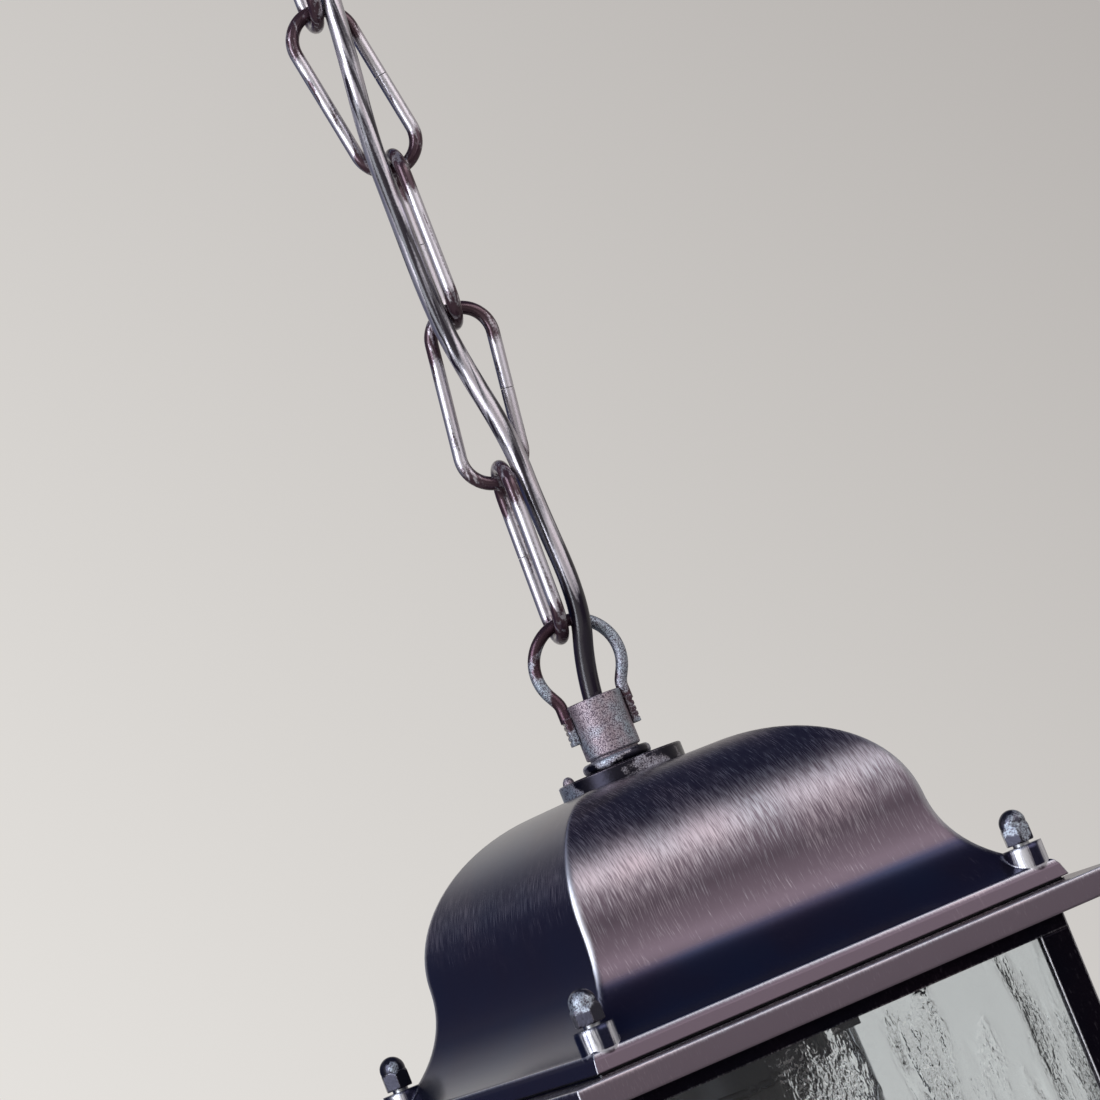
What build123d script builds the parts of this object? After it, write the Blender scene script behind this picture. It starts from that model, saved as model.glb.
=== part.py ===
from build123d import *

import os
from math import asin, cos, degrees, pi, radians, sin, sqrt, tan

# Square chain lantern in cast metal, hung from a ceiling rose.
# Millimetres. The origin is the centre of the ceiling face, +Z is up, and the
# sides of the lantern lie along X and Y.

# Ceiling strap and rose
strap_length = 98.0
strap_width = 20.0
strap_thick = 2.0
slot_spacing = 70.0
slot_length = 14.0
slot_width = 5.0
strap_hole_d = 11.0
rose_d = 112.0
rose_depth = 26.0
rose_wall = 1.6
rose_lip = 3.0
rose_screw_spread = 34.0
rose_screw_d = 4.0

# Collar, ring and horseshoe loop, the same at the ceiling and on the roof
collar_d = 17.3
collar_h = 18.2
collar_neck_d = 15.4
collar_neck_h = 0.7
collar_edge = 0.6
ring_d = 21.6
ring_h = 3.4
ring_edge = 1.5
loop_rod_d = 3.8
loop_r = 13.4
loop_rise = 11.3
loop_lean = 28.0
loop_bend_r = 6.0
loop_leg_drop = 11.6
loop_foot_w = 4.8
loop_foot_t = 2.5
loop_foot_h = 8.4
loop_peg_d = 2.4
loop_peg_l = 2.6
serration_count = 4
serration_depth = 0.35

# Threaded tube through the collars, with its lock nuts
nipple_d = 10.0
nipple_bore = 7.4
nipple_in_collar = 10.0
locknut_af = 14.0
locknut_h = 3.0
washer_d = 20.0
washer_h = 1.2

# Chain
chain_yaw = -15.0
link_wire_d = 4.2
link_length = 59.2
link_width = 23.5
link_seam = 0.3
link_gap = 0.3
link_foot_x = (-0.6, 5.2, 4.6, -0.4, -1.5)

# Cable
cable_d = 6.2
core_d = 1.9

# Roof plate with its screw
plate_d = 39.3
plate_h = 4.7
plate_edge = 0.4
plate_screw_d = 2.0
plate_screw_head_d = 3.7
plate_screw_head_h = 2.4
plate_screw_r = 16.2
plate_screw_turn = 150.0

# Roof: a flat crown, a full shoulder, a short upright stretch and a flare
roof_wall = 3.0
crown_half = 21.4
shoulder_r = 38.0
roof_turn = 87.0
roof_upright = 2.3
flare_r = 36.0
flare_end = 27.0
rim_top_half = 80.5
rim_bottom_half = 81.4
rim_slope = 0.5
rim_h = 5.3
rim_edge = 1.6
boss_d = 12.0
boss_top_drop = 62.0
boss_spread = 74.4

# Corner studs and domed cap nuts
stud_d = 5.0
cap_nut_af = 8.0
cap_nut_hex_h = 5.4
cap_nut_h = 10.2
cap_nut_dome_d = 7.9
cap_nut_bore_h = 7.0
cap_nut_lift = 0.9

# Seal and cornice
seal_h = 0.5
seal_w = 2.4
seat_half = 80.2
seat_h = 0.65
rail_half = 77.2
rail_wall = 2.4
rail_drop = 12.75
cornice_overhang = 18.0
cornice_half = rail_half + cornice_overhang
cornice_h = 7.8
cornice_edge = 0.7
cornice_lip = 4.0
cornice_cove = 3.2
cornice_plate = 3.0
cornice_hole_half = rail_half - 19.2

# Cage
post_w = 10.2
post_wall = 2.4
post_h = 205.0
pane_t = 3.0
pane_gap = 0.3
pane_side_gap = 0.6
pane_cover = 5.0
pane_lift = 0.3
clip_w = 9.0
clip_t = 0.8
clip_h = 12.0
clip_leg = 11.0
clip_screw_d = 4.6
clip_screw_h = 1.6

# Base frame, tray and their fasteners
base_rail_h = 6.0
base_step_half = rail_half + 3.2
base_step_h = 3.0
base_flare_half = rail_half + 8.8
base_flare_h = 8.0
base_toe_half = rail_half + 1.8
base_toe_h = 3.0
base_hole_half = rail_half - 19.2
base_ledge = 2.4
tray_half = base_toe_half - 3.0
tray_wall = 2.2
tray_drop = 12.0
tray_face_half = 26.0
tray_gap = 0.4
tray_screw_spread = tray_half - 6.5
tray_screw_d = 3.6
tray_screw_head_d = 7.0
tray_screw_head_h = 2.2
tray_boss_d = 8.0
finial_ball_d = 15.0
finial_neck_d = 8.0
finial_neck_h = 3.0

# Lampholder and its cover
cover_top_drop = 42.0
cover_top_d = 34.0
cover_d = 56.0
cover_h = 56.0
cover_wall = 1.2
cover_shoulder = 12.0
holder_d = 39.0
holder_cap_h = 22.0
holder_h = 66.0
holder_entry_h = 11.0
holder_chamber_d = 22.0
holder_ring_d = 42.0
holder_ring_h = 8.0
holder_ring_up = 6.0
socket_r = 13.3
socket_depth = 24.0
shell_wall = 0.6
socket_floor = 1.0
insert_d = 33.0
insert_h = 30.0
contact_d = 5.0
contact_h = 0.6
contact_l = 4.6

# Terminal block on the strap, and the cable's cores that run to it
block_l = 30.0
block_w = 16.0
block_h = 12.0
block_hole_d = 3.4
block_ways = 3
block_pitch = 9.0
tab_l = 34.0
tab_reach = 20.0
sheath_end = 7.0

# Heights that follow from the sizes above, from the ceiling down
rose_face_z = -rose_depth
ceiling_collar_z = rose_face_z - ring_h - collar_h
ceiling_loop_z = ceiling_collar_z - loop_rise - loop_r
end_r = (link_width - link_wire_d) / 2
link_straight = link_length - link_wire_d - 2 * end_r
link_pitch_drop = end_r - link_wire_d - link_gap
first_drop = end_r - (link_wire_d + loop_rod_d) / 2 - link_gap

os.makedirs("parts", exist_ok=True)


def save(name, *solids):
    """Writes one node: one solid, or a group of separate ones."""
    shape = solids[0] if len(solids) == 1 else Compound(children=list(solids))
    export_step(shape, f"parts/{name}.step")


def tube(outer_d, inner_d, height, z=0.0):
    """A round tube that stands on z."""
    body = Cylinder(outer_d / 2, height, align=(Align.CENTER, Align.CENTER, Align.MIN))
    if inner_d:
        body -= Cylinder(inner_d / 2, 3 * height, align=(Align.CENTER,) * 3)
    return Pos(0, 0, z) * body


def turned(*points):
    """A turned piece from the (radius, height) corners of its half section."""
    section = make_face(Polyline(*points, close=True))
    return revolve(Plane.XZ * section, Axis.Z)


def hexagon(across_flats, height, z=0.0):
    """A hexagonal bar that stands on z, with a flat towards +Y."""
    prism = extrude(RegularPolygon(across_flats / 2, 6, major_radius=False), height)
    return Pos(0, 0, z) * prism


def chain_plane(x, y, z):
    """A point given along and across the chain, in the object's own axes."""
    turn = radians(chain_yaw)
    return (x * cos(turn) - y * sin(turn), x * sin(turn) + y * cos(turn), z)


# Rounded ring, collar tube and horseshoe loop
# Each is made standing on a face at z = 0 and pointing up. The ceiling set is
# the same set turned over.
def collar_ring():
    body = tube(ring_d, nipple_d + 0.2, ring_h)
    outer = body.edges().filter_by(GeomType.CIRCLE).group_by(SortBy.RADIUS)[-1]
    return fillet(outer, ring_edge)


def collar_tube():
    neck = tube(collar_neck_d, 0, collar_neck_h)
    barrel = tube(collar_d, 0, collar_h - collar_neck_h, collar_neck_h)
    barrel = fillet(barrel.edges().filter_by(GeomType.CIRCLE), collar_edge)
    body = neck + barrel
    body -= tube(nipple_d + 0.1, 0, nipple_in_collar + 0.5)
    body -= tube(nipple_bore, 0, collar_h)
    for side in (-1, 1):
        x = side * (collar_d / 2 - loop_peg_l / 2)
        hole = Cylinder(loop_peg_d / 2 + 0.1, loop_peg_l + 0.2, rotation=(0, 90, 0))
        body -= Pos(x, 0, collar_h - loop_peg_z()) * hole
    return body


def loop_peg_z():
    """How far the pegs sit below the collar's open end."""
    return loop_leg_drop - loop_foot_h / 2


def horseshoe_loop():
    """Bent rod over the collar's open end, with flattened feet and pegs."""
    lean = radians(loop_lean)
    leg_x = collar_d / 2 + loop_foot_t / 2
    across = loop_r * cos(lean) - loop_bend_r * (1 - cos(lean)) - leg_x
    run = across / sin(lean)
    top = (0, loop_rise + loop_r)
    arc = JernArc(top, (1, 0), loop_r, -(90 + loop_lean))
    leg = PolarLine(arc @ 1, run, direction=arc % 1)
    bend = JernArc(leg @ 1, leg % 1, loop_bend_r, loop_lean)
    foot_end = -loop_leg_drop + loop_foot_h - 1.0
    foot = Line(bend @ 1, ((bend @ 1).X, foot_end))
    path = Plane.XZ * Wire([arc, leg, bend, foot])
    rod = sweep(Plane(path @ 0, z_dir=path % 0) * Circle(loop_rod_d / 2), path)
    pad = Box(loop_foot_t, loop_foot_w, loop_foot_h)
    pad = fillet(pad.edges().filter_by(Axis.Z), 0.6)
    pad = Pos(leg_x, 0, -loop_peg_z()) * pad
    for n in range(serration_count):
        z = -loop_peg_z() + (n - (serration_count - 1) / 2) * 1.7
        notch = Rot(45) * Box(loop_foot_w, 2 * serration_depth, 2 * serration_depth)
        notch = Rot(Z=90) * notch
        pad -= Pos(leg_x + loop_foot_t / 2, 0, z) * notch
    peg = Cylinder(loop_peg_d / 2, loop_peg_l, rotation=(0, 90, 0))
    peg = Pos(collar_d / 2 - loop_peg_l / 2 + 0.1, 0, -loop_peg_z()) * peg
    inside = Pos(0, 0, -loop_leg_drop) * Cylinder(
        collar_d / 2, loop_leg_drop, align=(Align.CENTER, Align.CENTER, Align.MIN)
    )
    half = rod - inside + pad + peg
    return half + mirror(half, Plane.YZ)


# Chain link and its places
def chain_link():
    """One oval link of round wire, upright in the XZ plane, butt-jointed in one leg."""
    leg = link_straight / 2
    path = Plane.XZ * Wire(
        [
            Line((end_r, link_seam / 2), (end_r, leg)),
            CenterArc((0, leg), end_r, 0, 180),
            Line((-end_r, leg), (-end_r, -leg)),
            CenterArc((0, -leg), end_r, 180, 180),
            Line((end_r, -leg), (end_r, -link_seam / 2)),
        ]
    )
    return sweep(Plane(path @ 0, z_dir=path % 0) * Circle(link_wire_d / 2), path)


def hang_chain():
    """Centre, lean and carrying wire of each link, from the ceiling loop down."""
    places = []
    wire_x, wire_z = 0.0, ceiling_loop_z
    drop = first_drop
    for foot_x in link_foot_x:
        lean = asin((foot_x - wire_x) / link_straight)
        top_z = wire_z - drop
        foot_z = top_z - link_straight * cos(lean)
        centre = ((wire_x + foot_x) / 2, (top_z + foot_z) / 2)
        places.append((centre, degrees(lean), (wire_x, wire_z)))
        wire_x, wire_z = foot_x, foot_z - end_r
        drop = link_pitch_drop
    return places, (wire_x, wire_z)


link_places, last_wire = hang_chain()

# Heights of the lantern, from the last link down
loop_inside = loop_r - (link_wire_d + loop_rod_d) / 2 - link_gap
lantern_loop_z = last_wire[1] - sqrt(loop_inside**2 - last_wire[0] ** 2)
collar_top_z = lantern_loop_z - loop_rise
plate_top_z = collar_top_z - collar_h - ring_h
crown_z = plate_top_z - plate_h


def roof_drop():
    """How far the flare's end lies below the crown."""
    steep, shallow = radians(roof_turn), radians(flare_end)
    shoulder = shoulder_r * (1 - cos(steep))
    flare = flare_r * (cos(shallow) - cos(steep))
    return shoulder + roof_upright * sin(steep) + flare


rim_top_z = crown_z - roof_drop() - rim_slope
rim_bottom_z = rim_top_z - rim_h
seat_top_z = rim_bottom_z - seal_h
ledge_z = seat_top_z - seat_h
rail_bottom_z = ledge_z - rail_drop
base_top_z = rail_bottom_z - post_h
base_bottom_z = (
    base_top_z - base_rail_h - base_step_h - base_flare_h - base_toe_h
)
tray_top_z = base_bottom_z + base_toe_h - tray_gap
boss_top_z = crown_z - boss_top_drop
holder_top_z = crown_z - cover_top_drop - cover_wall - locknut_h - 1.0

# Cable route, chosen by hand: along the chain, across it, and above or below
# each place where one piece hangs in the next. A stretch crosses one such
# place and ends half way down a run, where the next stretch takes over.
cable_route = (
    ((1.2, -1.0, 16.5), (8.3, -7.4, -3.1)),
    ((5.4, -6.0, 9.0), (3.5, -6.1, -11.0)),
    ((-0.4, -6.2, 9.5), (-0.7, -6.1, -10.5)),
    ((-1.5, -6.1, 9.0), (-0.2, -6.0, -9.5)),
    ((5.4, -6.1, 9.5), (5.2, -5.6, -9.5)),
    ((6.3, -6.7, 7.2), (0.8, -0.9, -12.2)),
)
cable_in_collar = 3.0
cable_end_gap = 0.5


def cable_points():
    """The points of each stretch, ends included, in the object's own axes."""
    joints = [wire_z for _, _, (_, wire_z) in link_places] + [last_wire[1]]
    bends = [
        [Vector(*chain_plane(x, y, z + rise)) for x, y, rise in pair]
        for pair, z in zip(cable_route, joints)
    ]
    first = Vector(0, 0, ceiling_collar_z + cable_in_collar)
    last = Vector(0, 0, collar_top_z - cable_in_collar)
    meets = [(a[1] + b[0]) * 0.5 for a, b in zip(bends, bends[1:])]
    ends = [first, *meets, last]
    return [[ends[n], *bends[n], ends[n + 1]] for n in range(len(bends))]


def cable_stretch(points):
    """A round tube along straight runs and the largest arcs that they allow."""
    radii = []
    for a, b, c in zip(points, points[1:], points[2:]):
        turn = (b - a).get_angle(c - b)
        run = min((b - a).length, (c - b).length)
        radii.append(0.45 * run / tan(radians(turn) / 2))
    path = FilletPolyline(*points, radius=radii)
    body = sweep(Plane(path @ 0, z_dir=path % 0) * Circle(cable_d / 2), path)
    share = body.volume / (pi * cable_d**2 / 4 * path.length)
    print("cable stretch", round(path.length, 1), "mm, radii", [round(r) for r in radii])
    print("  volume against section and length", round(share, 4))
    return body


# Ceiling pieces
def slot_cut():
    """The cutter for one slot along X."""
    half = slot_length / 2 - slot_width / 2
    bar = Box(2 * half, slot_width, 3 * strap_thick)
    ends = [Pos(x, 0, 0) * Cylinder(slot_width / 2, 3 * strap_thick) for x in (-half, half)]
    return bar + ends[0] + ends[1]


def ceiling_strap():
    """Flat steel strap with a tab for the terminal block."""
    strap = Box(strap_length, strap_width, strap_thick)
    tab = Pos(0, strap_width / 2 + tab_reach / 2, 0) * Box(tab_l, tab_reach, strap_thick)
    body = strap + tab
    body = fillet(body.edges().filter_by(Axis.Z).group_by(Axis.Y)[0], 3)
    for side in (-1, 1):
        body -= Pos(side * slot_spacing / 2, 0, 0) * slot_cut()
        body -= Pos(side * rose_screw_spread / 2, 0, 0) * Cylinder(rose_screw_d / 2 + 0.05, 9)
    body -= Cylinder(strap_hole_d / 2, 9)
    return Pos(0, 0, -strap_thick / 2) * body


def rose_outline(inset):
    """Half section of the rose, offset inwards by inset."""
    edge = rose_d / 2 - inset
    sweep_r = rose_depth - rose_lip - inset
    lip = Line((edge, 0), (edge, -rose_lip))
    turn = JernArc(lip @ 1, (0, -1), sweep_r, -90)
    face = Line(turn @ 1, (0, -rose_depth + inset))
    shut = Polyline(face @ 1, (0, 0), (edge, 0))
    return revolve(Plane.XZ * make_face([lip, turn, face, shut]), Axis.Z)


def ceiling_rose():
    body = rose_outline(0) - rose_outline(rose_wall)
    body -= Cylinder(nipple_d / 2 + 0.1, 3 * rose_depth)
    for side in (-1, 1):
        x = side * rose_screw_spread / 2
        body -= Pos(x, 0, -rose_depth) * Cylinder(rose_screw_d / 2 + 0.2, 9)
    return body


def domed_nut(across_flats, hex_h, height, dome_d, bore_d, bore_h):
    """Hexagon cap nut standing on z = 0, its corners rounded off by a cone."""
    nut = hexagon(across_flats, hex_h)
    tip_r = across_flats / 2 / cos(pi / 6)
    nut &= turned(
        (0, 0),
        (across_flats / 2, 0),
        (tip_r, 0.5),
        (tip_r, hex_h - 0.9),
        (dome_d / 2, hex_h),
        (0, hex_h),
    )
    rise = height - hex_h
    ball_r = (dome_d**2 / 4 + rise**2) / (2 * rise)
    dome = Pos(0, 0, height - ball_r) * Sphere(ball_r)
    dome &= tube(2 * across_flats, 0, height, hex_h - 0.2)
    return nut + dome - tube(bore_d, 0, bore_h)


def terminal_block():
    body = Box(block_l, block_w, block_h, align=(Align.CENTER, Align.MIN, Align.MAX))
    body = fillet(body.edges().filter_by(Axis.Z), 1.5)
    for n in range(block_ways):
        x = (n - (block_ways - 1) / 2) * block_pitch
        way = Cylinder(block_hole_d / 2, 3 * block_w, rotation=(90, 0, 0))
        body -= Pos(x, 0, -block_h / 2) * way
        body -= Pos(x, block_w / 2, -block_h) * Cylinder(block_hole_d / 2, block_h)
    return Pos(0, strap_width / 2 + 2, -strap_thick) * body


def flex_cores():
    """Three cores from the end of the sheath to the terminal block."""
    cores = []
    sheath_z = nipple_top_z + sheath_end
    for n in range(block_ways):
        turn = radians(90 + 120 * n)
        x, y = 1.35 * cos(turn), 1.35 * sin(turn)
        way_x = (n - (block_ways - 1) / 2) * block_pitch
        way_z = -strap_thick - block_h / 2
        points = (
            Vector(x, y, sheath_z),
            Vector(x, y, way_z - 1),
            Vector(way_x * 0.9, 7, way_z),
            Vector(way_x, strap_width / 2 + 6, way_z),
        )
        path = FilletPolyline(*points, radius=1.2)
        cores.append(sweep(Plane(path @ 0, z_dir=path % 0) * Circle(core_d / 2), path))
    return cores


nipple_top_z = rose_face_z + rose_wall + washer_h + locknut_h + 2.0


def build_ceiling():
    save("ceiling_strap", ceiling_strap())
    stud_end = rose_face_z - 6.0
    studs = [
        Pos(side * rose_screw_spread / 2, 0, 0) * tube(rose_screw_d, 0, -stud_end, stud_end)
        for side in (-1, 1)
    ]
    save("rose_screws", *studs)
    nut = Pos(0, 0, rose_face_z) * Rot(180) * domed_nut(7, 3.6, 8.0, 6.8, rose_screw_d + 0.1, 6.4)
    save("rose_nuts", *[Pos(s * rose_screw_spread / 2, 0, 0) * nut for s in (-1, 1)])
    save("ceiling_rose", ceiling_rose())
    turn_over = Rot(180)
    yaw = Rot(Z=chain_yaw)
    save("ceiling_ring", Pos(0, 0, rose_face_z) * turn_over * collar_ring())
    save("ceiling_collar", yaw * Pos(0, 0, rose_face_z - ring_h) * turn_over * collar_tube())
    save("ceiling_loop", yaw * Pos(0, 0, ceiling_collar_z) * turn_over * horseshoe_loop())
    low = rose_face_z - ring_h - nipple_in_collar
    save("ceiling_nipple", tube(nipple_d, nipple_bore, nipple_top_z - low, low))
    seat = rose_face_z + rose_wall
    washer = tube(washer_d, nipple_d + 0.2, washer_h, seat)
    nut = hexagon(locknut_af, locknut_h, seat + washer_h)
    nut -= tube(nipple_d + 0.1, 0, nipple_top_z - low, low)
    save("ceiling_washer", washer)
    save("ceiling_locknut", nut)
    save("terminal_block", terminal_block())
    tail_low = ceiling_collar_z + cable_in_collar + cable_end_gap
    save("cable_top_end", tube(cable_d, 0, nipple_top_z + sheath_end - tail_low, tail_low))
    save("cable_cores", *flex_cores())


def build_chain():
    link = chain_link()
    for n, ((x, z), lean, _) in enumerate(link_places):
        edge_on = 90 if n % 2 == 0 else 0
        place = Pos(*chain_plane(x, 0, z)) * Rot(Z=chain_yaw) * Rot(Y=-lean)
        save(f"chain_link_{n + 1}", place * Rot(Z=edge_on) * link)
    for n, points in enumerate(cable_points()):
        save(f"cable_stretch_{n + 1}", cable_stretch(points))


# Lantern pieces
def crossed(section):
    """The four-sided solid whose sides all follow one half section."""
    half = Plane.XZ * section
    span = 4 * cornice_half
    across = extrude(half + mirror(half, Plane.YZ), span / 2, both=True)
    return across & (Rot(Z=90) * across)


def square_ring(section):
    """A square frame with mitred corners, from the section of its +X side."""
    span = 2 * cornice_half
    side = extrude(Plane.XZ * section, span, both=True)
    mitre = make_face(Polyline((0, 0), (span, span), (span, -span), close=True))
    side &= extrude(mitre, 2 * span, both=True)
    ring = side
    for n in range(1, 4):
        ring += Rot(Z=90 * n) * side
    return ring


def roof_outline(inset):
    """Half outline of the roof and its rim, offset inwards by inset."""
    crown = Line((0, -inset), (crown_half, -inset))
    shoulder = JernArc(crown @ 1, (1, 0), shoulder_r - inset, -roof_turn)
    upright = PolarLine(shoulder @ 1, roof_upright, direction=shoulder % 1)
    flare = JernArc(upright @ 1, upright % 1, flare_r + inset, roof_turn - flare_end)
    low = rim_bottom_z - crown_z
    if inset:
        skirt = Line(flare @ 1, ((flare @ 1).X, low - 1))
    else:
        top = rim_top_z - crown_z
        skirt = Polyline(
            flare @ 1,
            (rim_top_half - rim_edge / 2, top),
            (rim_top_half, top - rim_edge),
            (rim_bottom_half, low),
        )
    shut = Polyline(skirt @ 1, (0, (skirt @ 1).Y), (0, -inset))
    return make_face([crown, shoulder, upright, flare, skirt, shut])


def corners(spread):
    return [(x * spread, y * spread) for x, y in ((-1, -1), (1, -1), (1, 1), (-1, 1))]


def roof():
    """Hollow ogee roof with a round boss over each corner stud."""
    body = crossed(roof_outline(0)) - crossed(roof_outline(roof_wall))
    boss_h = boss_top_z - rim_bottom_z
    for x, y in corners(boss_spread):
        boss = tube(boss_d, 0, boss_h, boss_top_z - crown_z - boss_h)
        body += Pos(x, y, 0) * boss
    for x, y in corners(boss_spread):
        body -= Pos(x, y, 0) * tube(stud_d + 0.4, 0, 2 * boss_h, rim_bottom_z - crown_z - 1)
    body -= Cylinder(nipple_d / 2 + 0.2, 3 * roof_wall)
    return Pos(0, 0, crown_z) * body


def roof_plate():
    body = tube(plate_d, nipple_d + 0.2, plate_h)
    outer = body.edges().filter_by(GeomType.CIRCLE).group_by(SortBy.RADIUS)[-1]
    body = chamfer(outer.sort_by(Axis.Z)[-1], plate_edge)
    x, y = plate_screw_place()
    body -= Pos(x, y, 0) * tube(plate_screw_d + 0.1, 0, 9)
    return Pos(0, 0, crown_z) * body


def plate_screw_place():
    turn = radians(plate_screw_turn)
    return plate_screw_r * cos(turn), plate_screw_r * sin(turn)


def plate_screw():
    shank = tube(plate_screw_d, 0, plate_h + 0.4, 0.1)
    head = Sphere(plate_screw_head_d / 2) & tube(plate_screw_head_d, 0, 9)
    head = scale(head, by=(1, 1, plate_screw_head_h / (plate_screw_head_d / 2)))
    x, y = plate_screw_place()
    return Pos(x, y, crown_z) * (shank + Pos(0, 0, plate_h) * head)


def seal():
    """Flat rubber seal between the roof's rim and the cornice seat."""
    outer = seat_half - 0.5
    inner = outer - seal_w
    ring = Box(2 * outer, 2 * outer, seal_h) - Box(2 * inner, 2 * inner, 3)
    return Pos(0, 0, seat_top_z + seal_h / 2) * ring


def cornice():
    """Cornice frame: raised seat, ledge, fascia, coved soffit and top rail."""
    soffit = -(cornice_h - cornice_cove)
    fascia_in = cornice_half - cornice_lip
    rail_in = rail_half - rail_wall
    edge = cornice_edge
    top = Polyline(
        (cornice_hole_half, seat_h), (seat_half, seat_h), (seat_half, 0), (cornice_half - edge, 0)
    )
    nose = JernArc(top @ 1, (1, 0), edge, -90)
    face = Polyline(nose @ 1, (cornice_half, -cornice_h), (fascia_in, -cornice_h))
    cove = JernArc(face @ 1, (0, 1), cornice_cove, 90)
    under = Polyline(
        cove @ 1,
        (rail_half, soffit),
        (rail_half, -rail_drop),
        (rail_in, -rail_drop),
        (rail_in, -cornice_plate),
        (cornice_hole_half, -cornice_plate),
        (cornice_hole_half, seat_h),
    )
    body = square_ring(make_face([top, nose, face, cove, under]))
    for x, y in corners(boss_spread):
        body -= Pos(x, y, 0) * Cylinder(stud_d / 2 + 0.05, 19)
    return Pos(0, 0, ledge_z) * body


def corner_studs():
    low = ledge_z - cornice_plate
    height = boss_top_z + cap_nut_lift + cap_nut_bore_h - 0.3 - low
    return [Pos(x, y, 0) * tube(stud_d, 0, height, low) for x, y in corners(boss_spread)]


def cap_nuts():
    nut = domed_nut(
        cap_nut_af, cap_nut_hex_h, cap_nut_h, cap_nut_dome_d, stud_d + 0.1, cap_nut_bore_h
    )
    z = boss_top_z + cap_nut_lift
    turns = (20, 5, 40, 12)
    return [Pos(x, y, z) * Rot(Z=t) * nut for (x, y), t in zip(corners(boss_spread), turns)]


def corner_post():
    """Angle post of the (+X, +Y) corner, with a square tongue at each end."""
    inner = rail_half - post_wall
    block = Box(post_w, post_w, post_h, align=(Align.MAX, Align.MAX, Align.MAX))
    block = Pos(rail_half, rail_half, 0) * block
    hollow = Box(post_w, post_w, 3 * post_h, align=(Align.MAX, Align.MAX, Align.CENTER))
    body = block - Pos(inner, inner, 0) * hollow
    side = inner - pane_inner() - 0.1
    tongue_h = rail_drop - cornice_plate - 0.5
    foot_h = base_rail_h - 0.5
    tongue = Box(side, side, tongue_h + post_h + foot_h, align=(Align.MAX, Align.MAX, Align.MAX))
    body += Pos(inner, inner, tongue_h) * tongue
    return Pos(0, 0, rail_bottom_z) * body


def pane_inner():
    """Distance of a pane's inner face from the axis."""
    return rail_half - post_wall - pane_gap - pane_t


def glass_pane():
    """Pane of the +X side, behind the posts, the top rail and the base rail."""
    half = pane_inner() - pane_side_gap
    top = rail_bottom_z + pane_cover
    low = base_top_z - base_rail_h + pane_lift
    body = Box(pane_t, 2 * half, top - low, align=(Align.MIN, Align.CENTER, Align.MIN))
    return Pos(pane_inner(), 0, low) * body


def pane_clip():
    """Bent strip that holds the top of the +X pane, and its screw."""
    leg = Box(clip_leg, clip_w, clip_t, align=(Align.MAX, Align.CENTER, Align.MAX))
    tail = Box(clip_t, clip_w, clip_h, align=(Align.MAX, Align.CENTER, Align.MAX))
    strip = leg + tail
    strip = Pos(pane_inner() - 0.1, 0, 0) * strip
    x = pane_inner() - clip_leg * 0.62
    head = Pos(x, 0, -clip_t - clip_screw_h) * tube(clip_screw_d, 0, clip_screw_h)
    return strip, head


def clips():
    """Four clips under the cornice and four, turned over, on the base ledge."""
    strip, head = pane_clip()
    high = Pos(0, 0, ledge_z - cornice_plate)
    low = Pos(0, 0, base_top_z - base_rail_h) * Rot(X=180)
    places = [Rot(Z=90 * n) * level for level in (high, low) for n in range(4)]
    return [p * strip for p in places], [p * head for p in places]


def base_frame():
    """Moulded base frame with a ledge for the panes and bosses for the tray."""
    rail_in = rail_half - rail_wall
    recess = tray_half + tray_gap
    step_z = -base_rail_h - base_step_h
    cove_r = base_flare_half - base_step_half
    toe_z = step_z - base_flare_h
    low = toe_z - base_toe_h
    ledge = -base_rail_h - base_ledge
    top = Polyline(
        (rail_in, 0), (rail_half, 0), (rail_half, -base_rail_h),
        (base_step_half, -base_rail_h), (base_step_half, step_z),
    )
    cove = JernArc(top @ 1, (0, -1), cove_r, 90)
    under = Polyline(
        cove @ 1, (base_flare_half, toe_z), (base_toe_half, toe_z), (base_toe_half, low),
        (recess, low), (recess, ledge), (base_hole_half, ledge),
        (base_hole_half, -base_rail_h), (rail_in, -base_rail_h), (rail_in, 0),
    )
    body = square_ring(make_face([top, cove, under]))
    boss_h = base_top_z + ledge - tray_top_z
    for x, y in corners(tray_screw_spread):
        boss = tube(tray_boss_d, 0, boss_h + 0.2, ledge - boss_h)
        boss -= tube(tray_screw_d, 0, boss_h - 1, ledge - boss_h)
        body += Pos(x, y, 0) * boss
    return Pos(0, 0, base_top_z) * body


def base_tray():
    """Square tray with a flat flange and a shallow dished middle."""
    dip_half = tray_screw_spread - 7.0
    low = -tray_wall - tray_drop
    outer = make_face(
        Polyline(
            (0, 0), (tray_half, 0), (tray_half, -tray_wall), (dip_half, -tray_wall),
            (tray_face_half, low), (0, low), close=True,
        )
    )
    inner = make_face(
        Polyline(
            (0, 1), (dip_half - tray_wall, 1), (dip_half - tray_wall, 0),
            (tray_face_half - 0.6 * tray_wall, low + tray_wall), (0, low + tray_wall), close=True,
        )
    )
    body = crossed(outer) - crossed(inner)
    for x, y in corners(tray_screw_spread):
        body -= Pos(x, y, 0) * Cylinder(tray_screw_d / 2 + 0.2, 9)
    body -= Pos(0, 0, low) * Cylinder(stud_d / 2 + 0.2, 9)
    return Pos(0, 0, tray_top_z) * body


def tray_screws():
    shank = tube(tray_screw_d - 0.2, 0, tray_wall + 7.0, -tray_wall)
    head = turned(
        (0, 0), (tray_screw_head_d / 2, 0), (tray_screw_head_d / 2, -0.5),
        (tray_screw_head_d / 3, -tray_screw_head_h), (0, -tray_screw_head_h),
    )
    screw = shank + Pos(0, 0, -tray_wall) * head
    return [Pos(x, y, tray_top_z) * screw for x, y in corners(tray_screw_spread)]


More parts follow.
